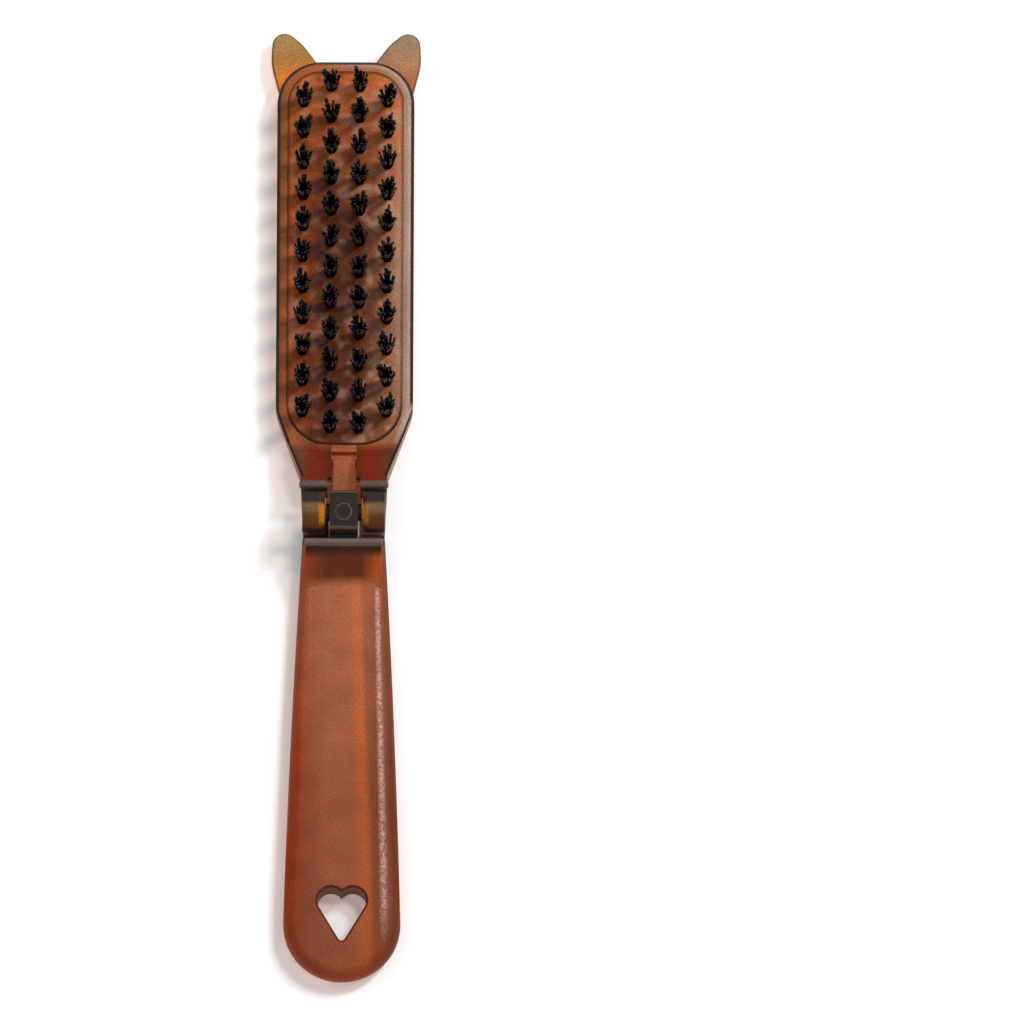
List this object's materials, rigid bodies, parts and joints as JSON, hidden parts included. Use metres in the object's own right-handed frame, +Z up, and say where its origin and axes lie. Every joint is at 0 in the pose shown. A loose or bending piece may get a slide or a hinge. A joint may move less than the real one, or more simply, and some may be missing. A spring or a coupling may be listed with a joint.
{
  "type": "folding travel brush",
  "caption": "Pocket hair brush whose handle folds over the bristles on a button-released hinge, with eared head, set bristle tufts and a heart-shaped hanging hole.",
  "frame": {"origin": "middle of the box of the unfolded brush, on the surface that it lies on", "axes": "+Y along the brush from the handle to the head, +X across it, +Z up out of the bristle side"},
  "size_m": [0.0328, 0.2128, 0.017],
  "materials": {
    "amber_plastic": "translucent amber, frosted",
    "button_plastic": "dark amber, satin",
    "bristle_nylon": "black nylon filament",
    "pin_steel": "drawn wire",
    "anchor_steel": "flat wire"
  },
  "bodies": {
    "head": {"head_shell": "amber_plastic", "bristle_plate": "amber_plastic", "tuft_anchors": "anchor_steel", "hinge_pin": "pin_steel", "tuft_row_01": "bristle_nylon", "tuft_row_02": "bristle_nylon", "tuft_row_03": "bristle_nylon", "tuft_row_04": "bristle_nylon", "tuft_row_05": "bristle_nylon", "tuft_row_06": "bristle_nylon", "tuft_row_07": "bristle_nylon", "tuft_row_08": "bristle_nylon", "tuft_row_09": "bristle_nylon", "tuft_row_10": "bristle_nylon", "tuft_row_11": "bristle_nylon", "tuft_row_12": "bristle_nylon", "tuft_row_13": "bristle_nylon", "tuft_row_14": "bristle_nylon", "tuft_row_15": "bristle_nylon", "tuft_row_16": "bristle_nylon", "tuft_row_17": "bristle_nylon", "tuft_row_18": "bristle_nylon", "tuft_row_19": "bristle_nylon", "tuft_row_20": "bristle_nylon", "tuft_row_21": "bristle_nylon", "tuft_row_22": "bristle_nylon", "tuft_row_23": "bristle_nylon"},
    "handle": {"handle_front_shell": "amber_plastic", "handle_back_shell": "amber_plastic", "knuckle_block": "amber_plastic"},
    "release_button": {"release_button": "button_plastic"},
    "latch_leaf": {"latch_leaf": "amber_plastic"}
  },
  "joints": [
    {"name": "fold_hinge", "type": "hinge", "parent": "head", "child": "handle", "pos_m": [0, -0.00356, 0.0125], "axis": [-1, 0, 0], "range_deg": [0, 180]},
    {"name": "button_press", "type": "slide", "parent": "handle", "child": "release_button", "axis": [0, 0, -1], "range_m": [0, 0.00095], "stiffness_N_per_m": 400},
    {"name": "leaf_flex", "type": "hinge", "parent": "head", "child": "latch_leaf", "pos_m": [0, 0.01004, 0.0064], "axis": [1, 0, 0], "range_deg": [0, 4.2]}
  ],
  "couplings": [
    {"joint": "leaf_flex", "follows": "button_press", "rad_per_m": 73.529}
  ]
}
